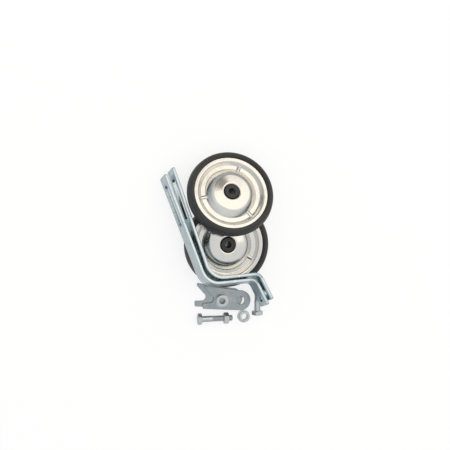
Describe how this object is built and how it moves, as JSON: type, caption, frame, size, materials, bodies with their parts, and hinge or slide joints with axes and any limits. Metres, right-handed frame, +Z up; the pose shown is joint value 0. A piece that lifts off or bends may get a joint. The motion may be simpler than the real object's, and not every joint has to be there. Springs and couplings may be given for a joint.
{
  "type": "bicycle training wheels",
  "caption": "Loose set of bicycle training wheels: bright pressed-steel disc wheels with round rubber tyres turning on nylon bushes, Z-bent slotted arms, fork brackets and axle bolts.",
  "frame": {"origin": "on the table under the middle of the set's bounding box", "axes": "+Z up from the table, +Y the way the long legs point, towards the leaning wheel"},
  "size_m": [0.1398, 0.221, 0.0534],
  "materials": {
    "tyre_rubber": "moulded, satin",
    "bright_steel": "pressed sheet, bright plated",
    "black_nylon": "moulded",
    "zinc_bar": "blue zinc plated flat bar",
    "zinc_plate": "zinc plated pressing",
    "zinc_fixings": "zinc plated"
  },
  "bodies": {
    "arms_and_fixings": {"upper_bush": "black_nylon", "lower_bush": "black_nylon", "left_arm": "zinc_bar", "right_arm": "zinc_bar", "lower_fork_bracket": "zinc_plate", "upper_fork_bracket": "zinc_plate", "axle_bolts": "zinc_fixings", "axle_nuts": "zinc_fixings", "flat_washers": "zinc_fixings", "spring_washers": "zinc_fixings"},
    "upper_wheel": {"upper_tyre": "tyre_rubber", "upper_front_disc": "bright_steel", "upper_back_disc": "bright_steel"},
    "lower_wheel": {"lower_tyre": "tyre_rubber", "lower_front_disc": "bright_steel", "lower_back_disc": "bright_steel"}
  },
  "joints": [
    {"name": "upper_wheel_spin", "type": "hinge", "parent": "arms_and_fixings", "child": "upper_wheel", "pos_m": [0.0149, 0.0577, 0.02653], "axis": [0.0076, 0.3365, 0.9417], "continuous": true},
    {"name": "lower_wheel_spin", "type": "hinge", "parent": "arms_and_fixings", "child": "lower_wheel", "pos_m": [0.01345, -0.00648, 0.0105], "axis": [0, 0, 1], "continuous": true}
  ]
}
